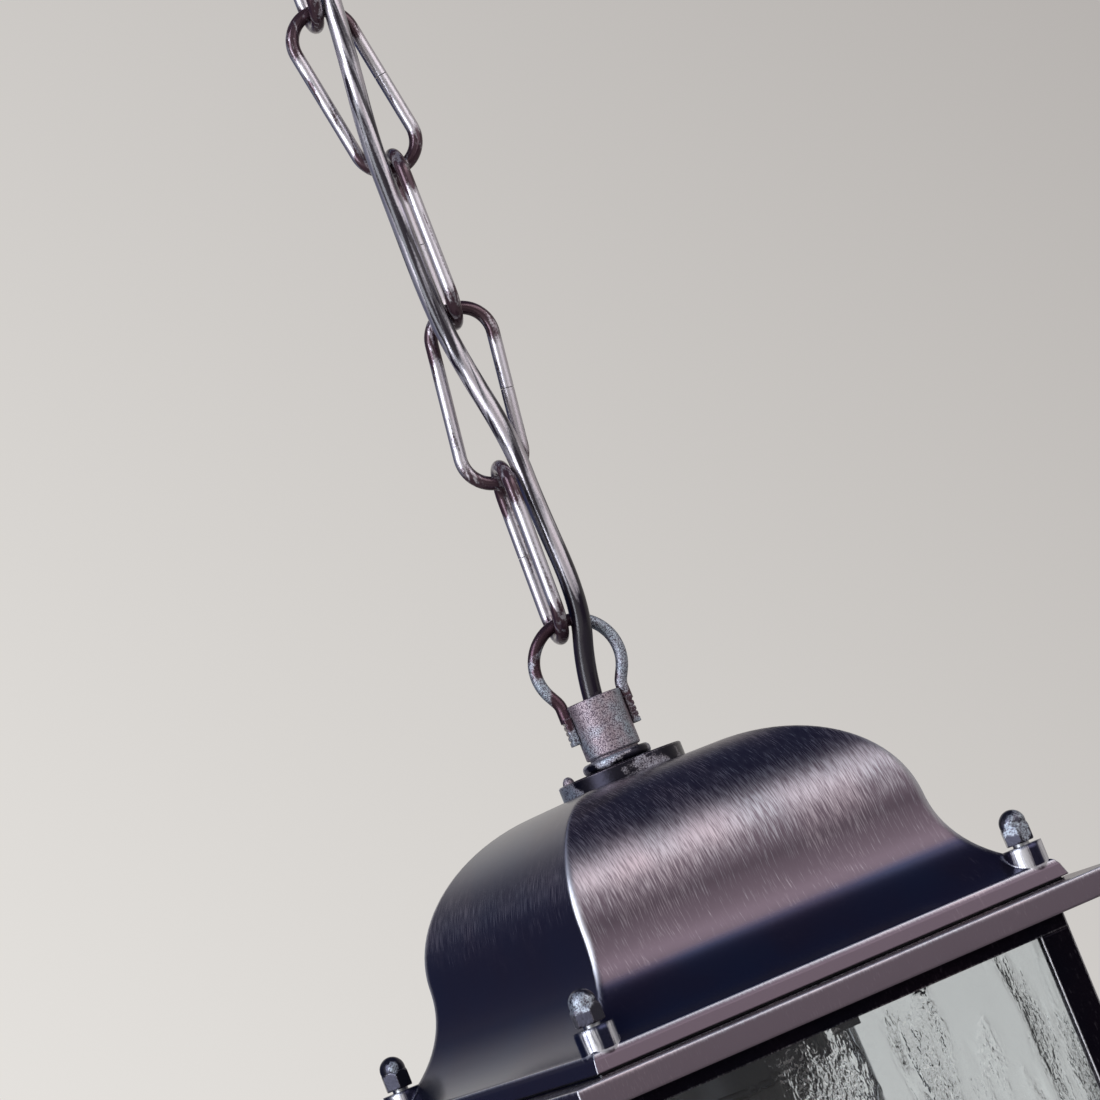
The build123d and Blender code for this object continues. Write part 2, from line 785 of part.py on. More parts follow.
def base_finial():
    """Ball nut below the tray, its stud and the nut inside."""
    face_z = tray_top_z - tray_wall - tray_drop
    neck = tube(finial_neck_d, 0, finial_neck_h, -finial_neck_h)
    collar = tube(finial_neck_d + 5, 0, 1.6, -1.6)
    ball = Pos(0, 0, -finial_neck_h - finial_ball_d / 2 + 0.8) * Sphere(finial_ball_d / 2)
    stud = tube(stud_d, 0, tray_wall + 6.0)
    nut = hexagon(cap_nut_af, 3.0, tray_wall) - tube(stud_d + 0.1, 0, 20)
    place = Pos(0, 0, face_z)
    return place * (neck + collar + ball + stud), place * nut


# Lampholder
def cover_solid(inset):
    top_r = cover_top_d / 2 - inset * 0.6
    r = cover_d / 2 - inset
    crown = Line((0, -inset), (top_r, -inset))
    cone = Line(crown @ 1, (r, -cover_shoulder))
    wall = Line(cone @ 1, (r, -cover_h - (1 if inset else 0)))
    shut = Polyline(wall @ 1, (0, (wall @ 1).Y), (0, -inset))
    return revolve(Plane.XZ * make_face([crown, cone, wall, shut]), Axis.Z)


def lamp_cover():
    """Dark spun cover over the lampholder, with a rolled rim."""
    body = cover_solid(0) - cover_solid(cover_wall)
    rim = Torus(cover_d / 2 - cover_wall / 2, cover_wall)
    body += Pos(0, 0, -cover_h) * rim
    body -= Cylinder(nipple_d / 2 + 0.1, 9)
    return Pos(0, 0, crown_z - cover_top_drop) * body


def lampholder():
    """Outer shell with its cap, insert, threaded shell, contact and ring."""
    r = holder_d / 2
    outer = turned(
        (0, 0), (9, 0), (13, -3), (r - 1.5, -holder_cap_h), (r, -holder_cap_h - 1.5),
        (r, -holder_h), (0, -holder_h),
    )
    cavity_r = insert_d / 2 + 0.1
    cavity = tube(2 * cavity_r, 0, holder_h - holder_cap_h - 2, -holder_h)
    entry = tube(nipple_d + 0.1, 0, 9, -7.9)
    chamber_h = holder_cap_h + 2 - holder_entry_h
    chamber = tube(holder_chamber_d, 0, chamber_h + 0.1, -holder_cap_h - 2.1)
    wires = tube(nipple_bore, 0, holder_entry_h + 1, -holder_entry_h - 0.5)
    body = outer - cavity - entry - chamber - wires
    shell_r = socket_r + shell_wall
    insert_top = -holder_cap_h - 2
    insert = tube(insert_d, 0, insert_h, insert_top - insert_h)
    mouth = insert_top - insert_h
    floor = mouth + socket_depth + socket_floor
    insert -= tube(2 * shell_r + 0.1, 0, socket_depth + socket_floor, mouth)
    insert -= tube(contact_d + 0.1, 0, insert_h, floor - 1)
    shell = tube(2 * shell_r, 2 * socket_r, socket_depth, mouth)
    contact = tube(contact_d, 0, contact_l, floor - contact_h)
    ring_z = -holder_h + holder_ring_up
    ring = tube(holder_ring_d, holder_d + 0.2, holder_ring_h, ring_z)
    ring = fillet(ring.edges().filter_by(GeomType.CIRCLE).group_by(SortBy.RADIUS)[-1], 1.0)
    place = Pos(0, 0, holder_top_z)
    return [place * s for s in (body, insert, shell, contact, ring)]


def build_lantern():
    yaw = Rot(Z=chain_yaw)
    save("lantern_loop", yaw * Pos(0, 0, collar_top_z) * horseshoe_loop())
    save("lantern_collar", yaw * Pos(0, 0, plate_top_z + ring_h) * collar_tube())
    save("lantern_ring", Pos(0, 0, plate_top_z) * collar_ring())
    save("roof_plate", roof_plate())
    save("plate_screw", plate_screw())
    high = plate_top_z + ring_h + nipple_in_collar
    low = holder_top_z - 7.8
    save("lantern_nipple", tube(nipple_d, nipple_bore, high - low, low))
    under = crown_z - roof_wall
    save("roof_washer", tube(washer_d, nipple_d + 0.2, washer_h, under - washer_h))
    nut_bore = tube(nipple_d + 0.1, 0, high - low, low)
    cover_z = crown_z - cover_top_drop
    nut_heights = (under - washer_h - locknut_h, cover_z, cover_z - cover_wall - locknut_h)
    save("roof_locknut", hexagon(locknut_af, locknut_h, nut_heights[0]) - nut_bore)
    save("cover_locknuts", *[hexagon(locknut_af, locknut_h, z) - nut_bore for z in nut_heights[1:]])
    tail_high = collar_top_z - cable_in_collar - cable_end_gap
    save("cable_lower_end", tube(cable_d, 0, tail_high - low, low))
    save("roof", roof())
    save("roof_seal", seal())
    save("cornice", cornice())
    save("corner_studs", *corner_studs())
    save("corner_cap_nuts", *cap_nuts())
    post = corner_post()
    pane = glass_pane()
    for n, place in enumerate(("front_right", "rear_right", "rear_left", "front_left")):
        save(f"post_{place}", Rot(Z=90 * (n - 1)) * post)
    for n, side in enumerate(("right", "rear", "left", "front")):
        save(f"glass_{side}", Rot(Z=90 * n) * pane)
    strips, heads = clips()
    save("pane_clips", *strips)
    save("clip_screws", *heads)
    save("base_frame", base_frame())
    save("base_tray", base_tray())
    save("tray_screws", *tray_screws())
    finial, finial_nut = base_finial()
    save("base_finial", finial)
    save("finial_nut", finial_nut)
    save("lamp_cover", lamp_cover())
    names = ("holder_body", "holder_insert", "socket_shell", "socket_contact", "holder_ring")
    for name, solid in zip(names, lampholder()):
        save(name, solid)


build_ceiling()
build_chain()
build_lantern()
print("crown of the roof at", round(crown_z, 2), "mm")
print("hinges at", [tuple(round(v, 2) for v in wire) for _, _, wire in link_places], last_wire)
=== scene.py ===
import math

import bmesh
import bpy
from mathutils import Matrix, Vector


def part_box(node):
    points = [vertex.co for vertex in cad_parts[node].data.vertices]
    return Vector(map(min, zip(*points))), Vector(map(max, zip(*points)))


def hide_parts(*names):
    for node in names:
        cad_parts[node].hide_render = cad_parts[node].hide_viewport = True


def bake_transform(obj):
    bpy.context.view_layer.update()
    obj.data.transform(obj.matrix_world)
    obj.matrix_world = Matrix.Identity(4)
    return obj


# Square lantern in cast aluminium on a chain, antique black with silver rubbed
# on by a dry brush. Metres, with the origin in the ceiling.
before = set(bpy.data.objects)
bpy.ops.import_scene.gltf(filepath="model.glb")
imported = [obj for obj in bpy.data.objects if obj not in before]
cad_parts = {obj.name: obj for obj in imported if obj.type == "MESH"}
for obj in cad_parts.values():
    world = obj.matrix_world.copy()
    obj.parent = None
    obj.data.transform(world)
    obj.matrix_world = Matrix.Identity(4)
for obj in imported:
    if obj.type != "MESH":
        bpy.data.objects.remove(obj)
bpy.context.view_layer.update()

MM = 0.001
CHAIN_YAW = math.radians(-15)
CROWN_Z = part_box("roof_plate")[0][2]

# The cable: where it bends beside each hinge, along and across the chain and
# above the hinge, in millimetres, as the solids have it.
HINGE_Z = (-72.3, -122.99, -173.02, -223.52, -273.66, -324.15)
CABLE_BENDS = (
    ((1.2, -1.0, 16.5), (8.3, -7.4, -3.1)),
    ((5.4, -6.0, 9.0), (3.5, -6.1, -11.0)),
    ((-0.4, -6.2, 9.5), (-0.7, -6.1, -10.5)),
    ((-1.5, -6.1, 9.0), (-0.2, -6.0, -9.5)),
    ((5.4, -6.1, 9.5), (5.2, -5.6, -9.5)),
    ((6.3, -6.7, 7.2), (0.8, -0.9, -12.2)),
)
CABLE_TOP_Z = -44.6
CABLE_FOOT_Z = -347.42
CABLE_D = 6.2 * MM


# Small helpers
def srgb(code):
    """An sRGB hex colour as linear red, green, blue and alpha."""
    parts = [int(code[n : n + 2], 16) / 255 for n in (1, 3, 5)]
    linear = [c / 12.92 if c < 0.04045 else ((c + 0.055) / 1.055) ** 2.4 for c in parts]
    return (*linear, 1.0)


def add(tree, kind, entries):
    """A node with its settings and links.

    Lower-case keys are the node's own settings. Numbers and capitalised keys
    are its inputs, each with a value, a node, or one of a node's outputs.
    stops are a colour ramp's: a place from 0 to 1, and a hex colour or a grey.
    """
    node = tree.nodes.new("ShaderNode" + kind)
    for key, value in entries.items():
        if isinstance(value, bpy.types.Node):
            value = next(socket for socket in value.outputs if socket.enabled)
        if key == "stops":
            marks = node.color_ramp.elements
            while len(marks) < len(value):
                marks.new(1.0)
            for mark, (place, tone) in zip(marks, value):
                mark.position = place
                mark.color = srgb(tone) if isinstance(tone, str) else (tone, tone, tone, 1.0)
        elif isinstance(key, str) and key[0].islower():
            setattr(node, key, value)
        elif isinstance(value, bpy.types.NodeSocket):
            tree.links.new(value, node.inputs[key])
        else:
            node.inputs[key].default_value = value
    return node


def new_material(name):
    material = bpy.data.materials.new(name)
    material.use_nodes = True
    material.node_tree.nodes.clear()
    return material, material.node_tree


def strokes(tree, width_mm, length_mm):
    """Brush strokes that run down each of the four sides, as a value about 0.5.

    Also 1 on the sides that face along X, and 0 on those along Y.
    """
    place = add(tree, "TexCoord", {})
    at = add(tree, "SeparateXYZ", {0: place.outputs["Object"]})
    facing = add(tree, "SeparateXYZ", {0: place.outputs["Normal"]})
    facing_x = add(tree, "Math", {"operation": "ABSOLUTE", 0: facing.outputs[0]})
    facing_y = add(tree, "Math", {"operation": "ABSOLUTE", 0: facing.outputs[1]})
    side = add(tree, "Math", {"operation": "GREATER_THAN", 0: facing_x, 1: facing_y})
    across = add(tree, "Mix", {"data_type": "FLOAT", 0: side, 2: at.outputs[0], 3: at.outputs[1]})
    outward = add(tree, "Mix", {"data_type": "FLOAT", 0: side, 2: at.outputs[1], 3: at.outputs[0]})
    outward = add(tree, "Math", {"operation": "ABSOLUTE", 0: outward})
    down = add(tree, "Math", {"operation": "SUBTRACT", 0: at.outputs[2], 1: outward})
    # The hand wanders sideways by up to 0.8 mm, about every 9 mm
    drift = add(tree, "TexNoise", {"Vector": place.outputs["Object"], "Scale": 1 / (9 * MM)})
    across = add(tree, "Math", {"operation": "MULTIPLY_ADD", 0: drift, 1: 0.8 * MM, 2: across})
    across = add(tree, "Math", {"operation": "DIVIDE", 0: across, 1: width_mm * MM})
    down = add(tree, "Math", {"operation": "DIVIDE", 0: down, 1: length_mm * MM})
    lay = add(tree, "CombineXYZ", {0: across, 1: down, 2: side})
    stroke = add(tree, "TexNoise", {"Vector": lay, "Scale": 1.0, "Detail": 3.0, "Roughness": 0.6})
    return stroke, side


def corner_edge(tree, radius):
    """1 on a four-sided piece's hips and corners, 0 away from them.

    Also the normal, rounded within a radius of every edge.
    """
    rounded = add(tree, "Bevel", {"samples": 8, "Radius": radius})
    turned = add(
        tree,
        "VectorTransform",
        {"vector_type": "NORMAL", "convert_from": "WORLD", "convert_to": "OBJECT", 0: rounded},
    )
    facing = add(tree, "SeparateXYZ", {0: turned})
    facing_x = add(tree, "Math", {"operation": "ABSOLUTE", 0: facing.outputs[0]})
    facing_y = add(tree, "Math", {"operation": "ABSOLUTE", 0: facing.outputs[1]})
    both = add(tree, "Math", {"operation": "MINIMUM", 0: facing_x, 1: facing_y})
    edge = add(
        tree,
        "MapRange",
        {"interpolation_type": "SMOOTHSTEP", "Value": both, "From Min": 0.12, "From Max": 0.45},
    )
    return edge, rounded


def outer_edge(tree, radius):
    """1 on edges, falling to 0 at a radius from them, and the normal rounded there."""
    face = add(tree, "NewGeometry", {})
    rounded = add(tree, "Bevel", {"samples": 6, "Radius": radius})
    same = add(
        tree,
        "VectorMath",
        {"operation": "DOT_PRODUCT", 0: face.outputs["Normal"], 1: rounded},
    )
    edge = add(
        tree,
        "MapRange",
        {
            "interpolation_type": "SMOOTHSTEP",
            "Value": same.outputs["Value"],
            "From Min": 0.995,
            "From Max": 0.86,
        },
    )
    return edge, rounded


# Finishes
def rubbed_enamel(name, codes, silver_at, veil_at, edge_at, length_mm, gloss, find_edge):
    """Black enamel on a casting, with silver rubbed on by a nearly dry brush.

    The enamel is blue-black and shines. A thin brown-grey veil dulls it, and
    the silver lies over that in brush strokes and along the edges. On the
    edges, and along the lines where the silver list nears 1, the silver turns
    to its brightest tone: rubbed silver with a painted highlight on it. Each
    list gives heights below the roof's crown in mm, lowest first, with how
    thick the silver or the veil is there, or how far the edges are rounded, as
    a share of EDGE_MM. codes are the enamel's two colours and the veil's, and
    find_edge is the function that finds the worn edges.
    """
    material, tree = new_material(name)
    place = add(tree, "TexCoord", {})
    at = add(tree, "SeparateXYZ", {0: place.outputs["Object"]})
    height = add(
        tree,
        "MapRange",
        {"Value": at.outputs[2], "From Min": CROWN_Z - LOWEST * MM, "From Max": CROWN_Z},
    )
    silver_here, veil_here, edge_here = (
        add(tree, "ValToRGB", {"Fac": height, "stops": [(1 - z / LOWEST, s) for z, s in marks]})
        for marks in (silver_at, veil_at, edge_at)
    )
    stroke, side = strokes(tree, STROKE_MM, length_mm)
    # The sides facing along X get a thinner veil, so they are darker: painted shade on those sides
    veil_here = add(
        tree,
        "Math",
        {
            "operation": "MULTIPLY",
            0: veil_here,
            1: add(tree, "MapRange", {"Value": side, "To Min": 1.0, "To Max": SHADED_SIDE_VEIL}),
        },
    )
    cloud = add(
        tree,
        "TexNoise",
        {"Vector": place.outputs["Object"], "Scale": 1 / (30 * MM), "Detail": 2.0},
    )
    # Silver: the thicker it is, the fainter a stroke may be and still show
    push = add(tree, "Math", {"operation": "MULTIPLY_ADD", 0: silver_here, 1: 0.62, 2: -0.36})
    # Less silver on the sides facing along X: painted shade
    push = add(tree, "Math", {"operation": "MULTIPLY_ADD", 0: side, 1: -0.14, 2: push})
    patchy = add(tree, "Math", {"operation": "MULTIPLY_ADD", 0: cloud, 1: 0.3, 2: push})
    thick = add(tree, "Math", {"operation": "ADD", 0: stroke, 1: patchy})
    radius = add(tree, "Math", {"operation": "MULTIPLY", 0: edge_here, 1: EDGE_MM * MM})
    edge, rounded = find_edge(tree, radius)
    # Edges take extra silver: rubbed wear, and also a painted highlight along the hips and corners
    worn = add(tree, "Math", {"operation": "MULTIPLY_ADD", 0: edge, 1: 0.55, 2: thick})
    cover = add(
        tree,
        "MapRange",
        {"interpolation_type": "SMOOTHSTEP", "Value": worn, "From Min": 0.42, "From Max": 0.88},
    )
    # Where the silver list nears 1, and on the edges, the silver turns to its brightest tone: a
    # painted highlight on rubbed silver
    line = add(tree, "MapRange", {"Value": silver_here, "From Min": 0.75, "From Max": 1.0})
    bright = add(tree, "Math", {"operation": "MAXIMUM", 0: edge, 1: line})
    hue = add(tree, "MapRange", {"Value": cloud, "From Min": 0.35, "From Max": 0.65})
    enamel = add(tree, "Mix", {"data_type": "RGBA", 0: hue, 6: srgb(codes[0]), 7: srgb(codes[1])})
    veiled = add(tree, "Mix", {"data_type": "RGBA", 0: veil_here, 6: enamel, 7: srgb(codes[2])})
    silver = add(tree, "Mix", {"data_type": "RGBA", 0: hue, 6: srgb(SILVER), 7: srgb(WARM_SILVER)})
    silver = add(tree, "Mix", {"data_type": "RGBA", 0: bright, 6: silver, 7: srgb(HIGHLIGHT_SILVER)})
    colour = add(tree, "Mix", {"data_type": "RGBA", 0: cover, 6: veiled, 7: silver})
    rough = add(tree, "MapRange", {"Value": veil_here, "To Min": gloss, "To Max": gloss + 0.12})
    rough = add(tree, "Math", {"operation": "MULTIPLY_ADD", 0: cover, 1: 0.08, 2: rough})
    normal = add(
        tree,
        "Bump",
        {"Strength": 0.35, "Distance": 0.04 * MM, "Height": stroke, "Normal": rounded},
    )
    shader = add(
        tree,
        "BsdfPrincipled",
        {"Metallic": 0.85, "Base Color": colour, "Roughness": rough, "Normal": normal},
    )
    add(tree, "OutputMaterial", {"Surface": shader})
    return material


def speckled_casting(name, bare_code, bare_share, speck_mm, patch_mm, gloss):
    """Small casting or nut under silver, the enamel showing in its pits.

    The pits are cast grain. bare_share sets how much has no silver at all and
    shines dark, in patches with a ragged edge, and well below 0 nothing does.
    """
    material, tree = new_material(name)
    place = add(tree, "TexCoord", {}).outputs["Object"]
    pits = add(
        tree,
        "TexNoise",
        {"Vector": place, "Scale": 1 / (speck_mm * MM), "Detail": 3.0, "Roughness": 0.65},
    )
    patches = add(tree, "TexNoise", {"Vector": place, "Scale": 1 / (patch_mm * MM), "Detail": 2.0})
    ragged = add(tree, "Math", {"operation": "MULTIPLY_ADD", 0: pits, 1: -0.14, 2: patches})
    bare = add(
        tree,
        "MapRange",
        {
            "interpolation_type": "SMOOTHSTEP",
            "Value": ragged,
            "From Min": 0.54 - bare_share * 0.25,
            "From Max": 0.61 - bare_share * 0.25,
        },
    )
    speck = add(
        tree,
        "MapRange",
        {
            "interpolation_type": "SMOOTHSTEP",
            "Value": pits,
            "From Min": 0.57,
            "From Max": 0.4,
            "To Max": 0.9,
        },
    )
    hue = add(tree, "MapRange", {"Value": patches, "From Min": 0.35, "From Max": 0.6})
    silver = add(tree, "Mix", {"data_type": "RGBA", 0: hue, 6: srgb("#a7b1bb"), 7: srgb("#a89aa0")})
    pitted = add(tree, "Mix", {"data_type": "RGBA", 0: speck, 6: silver, 7: srgb("#453846")})
    # The brush catches the edges, within 0.6 mm of them, also where a patch is bare
    edge, rounded = outer_edge(tree, 0.6 * MM)
    bare = add(
        tree, "Math", {"operation": "MULTIPLY_ADD", "use_clamp": True, 0: edge, 1: -0.7, 2: bare}
    )
    colour = add(tree, "Mix", {"data_type": "RGBA", 0: bare, 6: pitted, 7: srgb(bare_code)})
    rough = add(tree, "MapRange", {"Value": bare, "To Min": gloss, "To Max": gloss - 0.2})
    depth = add(tree, "MapRange", {"Value": bare, "To Min": 0.9, "To Max": 0.3})
    normal = add(
        tree,
        "Bump",
        {"Strength": depth, "Distance": 0.16 * MM, "Height": pits, "Normal": rounded},
    )
    shader = add(
        tree,
        "BsdfPrincipled",
        {"Metallic": 0.75, "Base Color": colour, "Roughness": rough, "Normal": normal},
    )
    add(tree, "OutputMaterial", {"Surface": shader})
    return material


def rubbed_wire(name, bare_code, bare_metal, across_mm, along_mm, grit, black_below=None):
    """Chain wire or cable sheath with silver rubbed along it in long patches.

    grit is how far the silver's edge breaks up. A chain's wire has less
    silver, and so is darker, within 6 to 12 mm in height of each hinge, where
    the links meet. A sheath is left plain and black below the height
    black_below. The pattern lies in object coordinates, so it is right on the
    links and on the cable at rest, but doesn't bend with the cable.
    """
    material, tree = new_material(name)
    place = add(tree, "TexCoord", {}).outputs["Object"]
    at = add(tree, "SeparateXYZ", {0: place})
    wide = 1 / (across_mm * MM)
    lay = add(tree, "Mapping", {"Scale": (wide, wide, 1 / (along_mm * MM)), "Vector": place})
    streak = add(tree, "TexNoise", {"Vector": lay, "Scale": 1.0, "Detail": 2.0, "Roughness": 0.5})
    grain = add(tree, "TexNoise", {"Vector": place, "Scale": 1 / (0.6 * MM), "Detail": 2.0})
    broken = add(tree, "Math", {"operation": "SUBTRACT", 0: grain, 1: 0.5})
    rubbed = add(tree, "Math", {"operation": "MULTIPLY_ADD", 0: broken, 1: grit, 2: streak})
    if black_below is None:
        past = add(tree, "Math", {"operation": "SUBTRACT", 0: at.outputs[2], 1: HINGE_Z[0] * MM})
        reach = (HINGE_Z[0] - HINGE_Z[-1]) / (len(HINGE_Z) - 1) / 2 * MM
        away = add(tree, "Math", {"operation": "PINGPONG", 0: past, 1: reach})
        bare_part = add(
            tree,
            "MapRange",
            {
                "interpolation_type": "SMOOTHSTEP",
                "Value": away,
                "From Min": 6 * MM,
                "From Max": 12 * MM,
                "To Min": -0.03,
                "To Max": 0.22,
            },
        )
    else:
        bare_part = add(
            tree,
            "MapRange",
            {
                "interpolation_type": "SMOOTHSTEP",
                "Value": at.outputs[2],
                "From Min": black_below - 6 * MM,
                "From Max": black_below + 20 * MM,
                "To Min": -0.5,
                "To Max": 0.08,
            },
        )
    rubbed = add(tree, "Math", {"operation": "ADD", 0: rubbed, 1: bare_part})
    cover = add(
        tree,
        "MapRange",
        {"interpolation_type": "SMOOTHSTEP", "Value": rubbed, "From Min": 0.48, "From Max": 0.68},
    )
    silver = add(
        tree, "Mix", {"data_type": "RGBA", 0: streak, 6: srgb("#cdd2d8"), 7: srgb("#bbadb3")}
    )
    colour = add(tree, "Mix", {"data_type": "RGBA", 0: cover, 6: srgb(bare_code), 7: silver})
    metal = add(tree, "MapRange", {"Value": cover, "To Min": bare_metal, "To Max": 0.9})
    rough = add(tree, "MapRange", {"Value": cover, "To Min": 0.17, "To Max": 0.36})
    normal = add(tree, "Bump", {"Strength": 0.4, "Distance": 0.05 * MM, "Height": grain})
    shader = add(
        tree,
        "BsdfPrincipled",
        {"Metallic": metal, "Base Color": colour, "Roughness": rough, "Normal": normal},
    )
    add(tree, "OutputMaterial", {"Surface": shader})
    return material


def water_glass(name):
    """Rolled water glass: clear and nearly flat, with drawn-out runs of ripple and seeds."""
    material, tree = new_material(name)
    place = add(tree, "TexCoord", {}).outputs["Object"]
    drawn = add(
        tree,
        "Mapping",
        {"Scale": (1 / (26 * MM), 1 / (26 * MM), 1 / (90 * MM)), "Vector": place},
    )
    runs = add(tree, "TexNoise", {"Vector": drawn, "Scale": 1.0, "Detail": 3.0, "Roughness": 0.6})
    run = add(
        tree,
        "MapRange",
        {"interpolation_type": "SMOOTHSTEP", "Value": runs, "From Min": 0.54, "From Max": 0.66},
    )
    small = add(
        tree,
        "Mapping",
        {"Scale": (1 / (1.3 * MM), 1 / (1.3 * MM), 1 / (2.2 * MM)), "Vector": place},
    )
    ripple = add(tree, "TexNoise", {"Vector": small, "Scale": 1.0, "Detail": 1.0})
    ripple = add(tree, "Math", {"operation": "MULTIPLY", 0: ripple, 1: run})
    swell = add(tree, "TexNoise", {"Vector": place, "Scale": 1 / (34 * MM), "Detail": 1.0})
    normal = add(tree, "Bump", {"Strength": 0.5, "Distance": 2.0 * MM, "Height": swell})
    normal = add(
        tree,
        "Bump",
        {"Strength": 0.9, "Distance": 0.9 * MM, "Height": ripple, "Normal": normal},
    )
    shader = add(
        tree,
        "BsdfPrincipled",
        {
            "Base Color": srgb("#eef2f4"),
            "Transmission Weight": 1.0,
            "Roughness": 0.02,
            "IOR": 1.5,
            "Normal": normal,
        },
    )
    add(tree, "OutputMaterial", {"Surface": shader})
    return material


def even_finish(name, codes, metallic, roughness, grain_mm, depth_mm):
    """A plain finish in two close colours, with its own fine grain."""
    material, tree = new_material(name)
    place = add(tree, "TexCoord", {}).outputs["Object"]
    grain = add(tree, "TexNoise", {"Vector": place, "Scale": 1 / (grain_mm * MM), "Detail": 3.0})
    cloud = add(tree, "TexNoise", {"Vector": place, "Scale": 1 / (8 * MM), "Detail": 2.0})
    share = add(tree, "MapRange", {"Value": cloud, "From Min": 0.3, "From Max": 0.7})
    colour = add(tree, "Mix", {"data_type": "RGBA", 0: share, 6: srgb(codes[0]), 7: srgb(codes[1])})
    rough = add(tree, "MapRange", {"Value": grain, "To Min": roughness, "To Max": roughness + 0.12})
    normal = add(tree, "Bump", {"Strength": 0.6, "Distance": depth_mm * MM, "Height": grain})
    shader = add(
        tree,
        "BsdfPrincipled",
        {"Metallic": metallic, "Base Color": colour, "Roughness": rough, "Normal": normal},
    )
    add(tree, "OutputMaterial", {"Surface": shader})
    return material


# The silver is thickest low on the roof's shoulder, and the hollow flare keeps
# its bare enamel. The roof's rim starts 69 mm below the crown and the cornice's
# ledge lies at 75.45 mm. Along both top edges runs a line of the brightest
# silver: rubbed silver, and a painted highlight. A fainter silver line at 88.2
# mm, on the rail's lower edge, is a painted highlight. Below the cornice's face,
# from 83.25 mm, the rail and posts stay nearly black: their black enamel, and
# on the rail under the cornice also painted shade.
LOWEST = 90
EDGE_MM = 4.0
STROKE_MM = 0.45
# Share of the veil left on the sides facing along X, which are darkened as painted shade
SHADED_SIDE_VEIL = 0.35
# The third silver, the brightest, is a painted highlight on the edges and the top-edge lines
SILVER, WARM_SILVER, HIGHLIGHT_SILVER = "#9fa1a8", "#a99da3", "#d6d6dc"
ROOF_SILVER = (
    (90, 0.0), (70.3, 0.0), (69.1, 1.0), (68.9, 1.0), (68.8, 0.0),
    (56, 0.0), (52, 0.12), (44, 0.18), (36, 0.3), (29, 0.46),
    (24, 0.64), (20, 0.66), (16, 0.52), (12, 0.4), (6, 0.34), (0, 0.4),
)
ROOF_VEIL = (
    (90, 1.0), (69.2, 1.0), (68.8, 0.0), (54, 0.0),
    (51.5, 1.0), (18, 1.0), (11, 0.4), (0, 0.4),
)
ROOF_EDGE = ((90, 0.15), (66, 0.15), (62, 0.8), (30, 1.0), (12, 0.6), (0, 0.6))
# The silver lines at 88.2 mm and at 75.3 to 75.6 mm are painted highlights along edges, the upper
# one on rubbed silver
FRAME_SILVER = (
    (90, 0.1), (88.3, 0.1), (88.2, 0.7), (87.7, 0.1),
    (77.3, 0.1), (75.6, 1.0), (75.3, 1.0), (75.2, 0.0), (0, 0.0),
)
# Veil on the cornice's face only: below 83.25 mm the rail and posts keep black enamel, and on the
# rail under the cornice this darkness is also painted shade
FRAME_VEIL = ((90, 0.0), (83.4, 0.0), (83.1, 1.0), (75.4, 1.0), (75.2, 0.0), (0, 0.0))
FRAME_EDGE = ((90, 0.25), (0, 0.25))
BASE_SILVER = ((90, 0.1), (0, 0.1))
BASE_VEIL = ((90, 1.0), (0, 1.0))
ROSE_SILVER = ((90, 0.3), (0, 0.3))
ROOF_CODES = ("#353a52", "#3a364a", "#574c55")
FRAME_CODES = ("#1b1a27", "#241b26", "#83767f")
roof_finish = rubbed_enamel(
    "cast_aluminium_rubbed_roof",
    ROOF_CODES,
    ROOF_SILVER,
    ROOF_VEIL,
    ROOF_EDGE,
    8.0,
    0.2,
    corner_edge,
)
frame_finish = rubbed_enamel(
    "cast_aluminium_rubbed_cage",
    FRAME_CODES,
    FRAME_SILVER,
    FRAME_VEIL,
    FRAME_EDGE,
    3.0,
    0.2,
    corner_edge,
)
base_finish = rubbed_enamel(
    "cast_aluminium_rubbed_base",
    FRAME_CODES,
    BASE_SILVER,
    BASE_VEIL,
    FRAME_EDGE,
    3.0,
    0.24,
    corner_edge,
)
rose_finish = rubbed_enamel(
    "spun_steel_rubbed_rose",
    ROOF_CODES,
    ROSE_SILVER,
    BASE_VEIL,
    FRAME_EDGE,
    9.0,
    0.24,
    outer_edge,
)
collar_finish = speckled_casting("cast_collar_rubbed_silver", "#2a2029", -1.2, 0.42, 9, 0.48)
loop_finish = speckled_casting("cast_loop_rubbed_silver", "#4a353e", 0.75, 0.45, 10, 0.46)
patched_finish = speckled_casting(
    "turned_fitting_rubbed_patches", "#1a1824", 0.6, 0.45, 11, 0.42
)
nut_finish = speckled_casting("domed_nut_rubbed_enamel", "#34343f", 1.0, 0.5, 8, 0.4)
chain_finish = rubbed_wire("chain_wire_rubbed_enamel", "#48343c", 0.5, 1.8, 16.0, 0.25)
sheath_finish = rubbed_wire(
    "moulded_sheath_brushed", "#1e1822", 0.0, 1.9, 34.0, 0.1, CROWN_Z + 45 * MM
)
glass_finish = water_glass("rolled_water_glass")

# Plain finishes. Their real grain is finer than this, and is drawn at 0.5 to
# 3 mm so that it still breaks up the highlights a little.
zinc_finish = even_finish("zinc_plated_steel", ("#b9bbbd", "#a3a6aa"), 1.0, 0.28, 0.6, 0.02)
brass_finish = even_finish("drawn_brass", ("#c9a862", "#b8944e"), 1.0, 0.24, 0.5, 0.02)
cover_finish = even_finish("spun_steel_satin_black", ("#12131b", "#191a22"), 0.0, 0.42, 0.9, 0.03)
holder_finish = even_finish("moulded_phenolic_black", ("#1c1b1d", "#242224"), 0.0, 0.3, 1.2, 0.02)
porcelain_finish = even_finish("glazed_porcelain", ("#e8e4da", "#ded9cd"), 0.0, 0.1, 2.0, 0.02)
block_finish = even_finish("moulded_nylon_white", ("#dcdad2", "#d2cfc6"), 0.0, 0.42, 0.8, 0.03)
